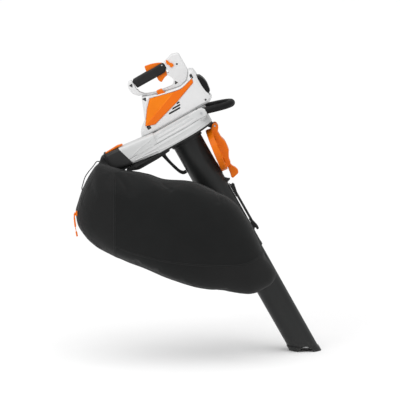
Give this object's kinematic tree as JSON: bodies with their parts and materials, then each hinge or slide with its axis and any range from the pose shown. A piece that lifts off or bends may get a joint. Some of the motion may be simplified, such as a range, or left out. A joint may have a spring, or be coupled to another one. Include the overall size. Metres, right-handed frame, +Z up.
{
  "type": "leaf vacuum mulcher",
  "caption": "Cordless hand-held leaf vacuum and mulcher with tilted suction tube, hinged intake screen, two handles, slide-in battery and zipped catcher bag.",
  "frame": {"origin": "centre of the bounding box's base, on the ground plane that the nozzle's oblique rim stands on", "axes": "+Z up; +X from the outlet and bag side towards the intake screen and front loop handle; the catcher bag is on the -Y side"},
  "size_m": [0.8382, 0.3758, 1.0191],
  "materials": {
    "black_tube": "satin, slightly glossy",
    "black_plastic": "fine grain",
    "fan_housing_plastic": "satin moulded",
    "soft_grip": "soft touch, fine grain",
    "white_housing": "satin moulded, fine grain",
    "orange_panel": "satin moulded",
    "steel": "plated",
    "orange_controls": "satin moulded",
    "battery_shell": "grained",
    "circuit_board": "solder mask",
    "motor_iron": "laminated",
    "impeller_plastic": "moulded",
    "orange_screen": "satin moulded",
    "bag_fabric": "plain woven",
    "bag_webbing": "webbing",
    "orange_zip": "moulded"
  },
  "bodies": {
    "machine": {"suction_flange": "black_plastic", "intake_sleeve": "black_plastic", "flange_bow": "black_plastic", "fan_housing_top": "fan_housing_plastic", "fan_housing_bottom": "fan_housing_plastic", "front_loop_handle": "soft_grip", "motor_housing_near": "white_housing", "side_panel_near": "orange_panel", "handle_frame_near": "white_housing", "loop_handle_bolt_near": "steel", "motor_housing_far": "white_housing", "side_panel_far": "orange_panel", "handle_frame_far": "white_housing", "loop_handle_bolt_far": "steel", "housing_screw_1": "steel", "housing_screw_2": "steel", "housing_screw_3": "steel", "housing_screw_4": "steel", "handle_screw_1": "steel", "handle_screw_2": "steel", "handle_screw_3": "steel", "grip_sleeve": "soft_grip", "trigger_pin": "steel", "battery_terminal_block": "black_plastic", "controller_board": "circuit_board", "motor_stator": "motor_iron", "bearing_lower": "steel", "bearing_upper": "steel", "screen_hinge_pin": "steel"},
    "fan_rotor": {"motor_shaft": "steel", "motor_rotor": "motor_iron", "impeller": "impeller_plastic", "shredder_blade": "steel", "impeller_nut": "steel"},
    "trigger": {"trigger": "orange_controls"},
    "trigger_lockout": {"trigger_lockout": "orange_controls"},
    "speed_hold_lever": {"speed_hold_lever": "orange_controls"},
    "battery_release_button": {"battery_release_button": "orange_controls"},
    "battery": {"battery_pack": "battery_shell"},
    "intake_screen": {"intake_screen": "orange_screen"},
    "screen_latch_lever": {"screen_latch_lever": "orange_screen"},
    "suction_tube": {"suction_tube_upper": "black_tube", "suction_tube_lower": "black_tube", "bag_cleat": "black_plastic"},
    "bag_assembly": {"outlet_elbow": "black_plastic", "bag_neck_band": "bag_webbing", "catcher_bag_near": "bag_fabric", "catcher_bag_far": "bag_fabric", "bag_loop_cord": "bag_webbing", "zip_slider": "orange_zip"},
    "elbow_latch": {"elbow_latch": "orange_controls"},
    "zip_pull": {"zip_pull": "orange_zip", "zip_pull_tip": "orange_zip"}
  },
  "joints": [
    {"name": "impeller_spin", "type": "hinge", "parent": "machine", "child": "fan_rotor", "pos_m": [-0.0666, 0.08013, 0.7671], "axis": [-0.4894, 0, 0.8721], "continuous": true},
    {"name": "trigger_pull", "type": "hinge", "parent": "machine", "child": "trigger", "pos_m": [-0.11598, 0.08013, 0.95727], "axis": [0, 1, 0], "range_deg": [0, 12], "stiffness_Nm_per_rad": 0.8, "springref_deg": -8.59},
    {"name": "lockout_press", "type": "hinge", "parent": "machine", "child": "trigger_lockout", "pos_m": [-0.12609, 0.08013, 0.98141], "axis": [0, -1, 0], "range_deg": [0, 6], "stiffness_Nm_per_rad": 0.6, "springref_deg": -6.88},
    {"name": "speed_hold_turn", "type": "hinge", "parent": "machine", "child": "speed_hold_lever", "pos_m": [-0.0915, 0.05613, 0.97903], "axis": [0, 1, 0], "range_deg": [0, 50]},
    {"name": "battery_release_press", "type": "slide", "parent": "machine", "child": "battery_release_button", "axis": [0.4894, 0, -0.8721], "range_m": [0, 0.004], "stiffness_N_per_m": 400, "springref_m": -0.003},
    {"name": "battery_slide", "type": "slide", "parent": "machine", "child": "battery", "axis": [0.8721, 0, 0.4894], "range_m": [0, 0.13]},
    {"name": "screen_swing", "type": "hinge", "parent": "machine", "child": "intake_screen", "pos_m": [0.05352, 0.08013, 0.77374], "axis": [0, -1, 0], "range_deg": [0, 60]},
    {"name": "screen_lever_flex", "type": "hinge", "parent": "intake_screen", "child": "screen_latch_lever", "pos_m": [0.10652, 0.08013, 0.63659], "axis": [0, -1, 0], "range_deg": [0, 10], "stiffness_Nm_per_rad": 1.2, "springref_deg": -6.88},
    {"name": "tube_unplug", "type": "slide", "parent": "machine", "child": "suction_tube", "axis": [0.4894, 0, -0.8721], "range_m": [0, 0.05]},
    {"name": "bag_unplug", "type": "slide", "parent": "machine", "child": "bag_assembly", "axis": [-0.9184, 0, -0.3955], "range_m": [0, 0.05]},
    {"name": "elbow_latch_lift", "type": "hinge", "parent": "bag_assembly", "child": "elbow_latch", "pos_m": [-0.31219, 0.01113, 0.68777], "axis": [0, -1, 0], "range_deg": [0, 10], "stiffness_Nm_per_rad": 0.8, "springref_deg": -6.88},
    {"name": "zip_pull_swing", "type": "hinge", "parent": "bag_assembly", "child": "zip_pull", "pos_m": [-0.41663, -0.08487, 0.4915], "axis": [0, 1, 0], "range_deg": [-4, 60]}
  ]
}
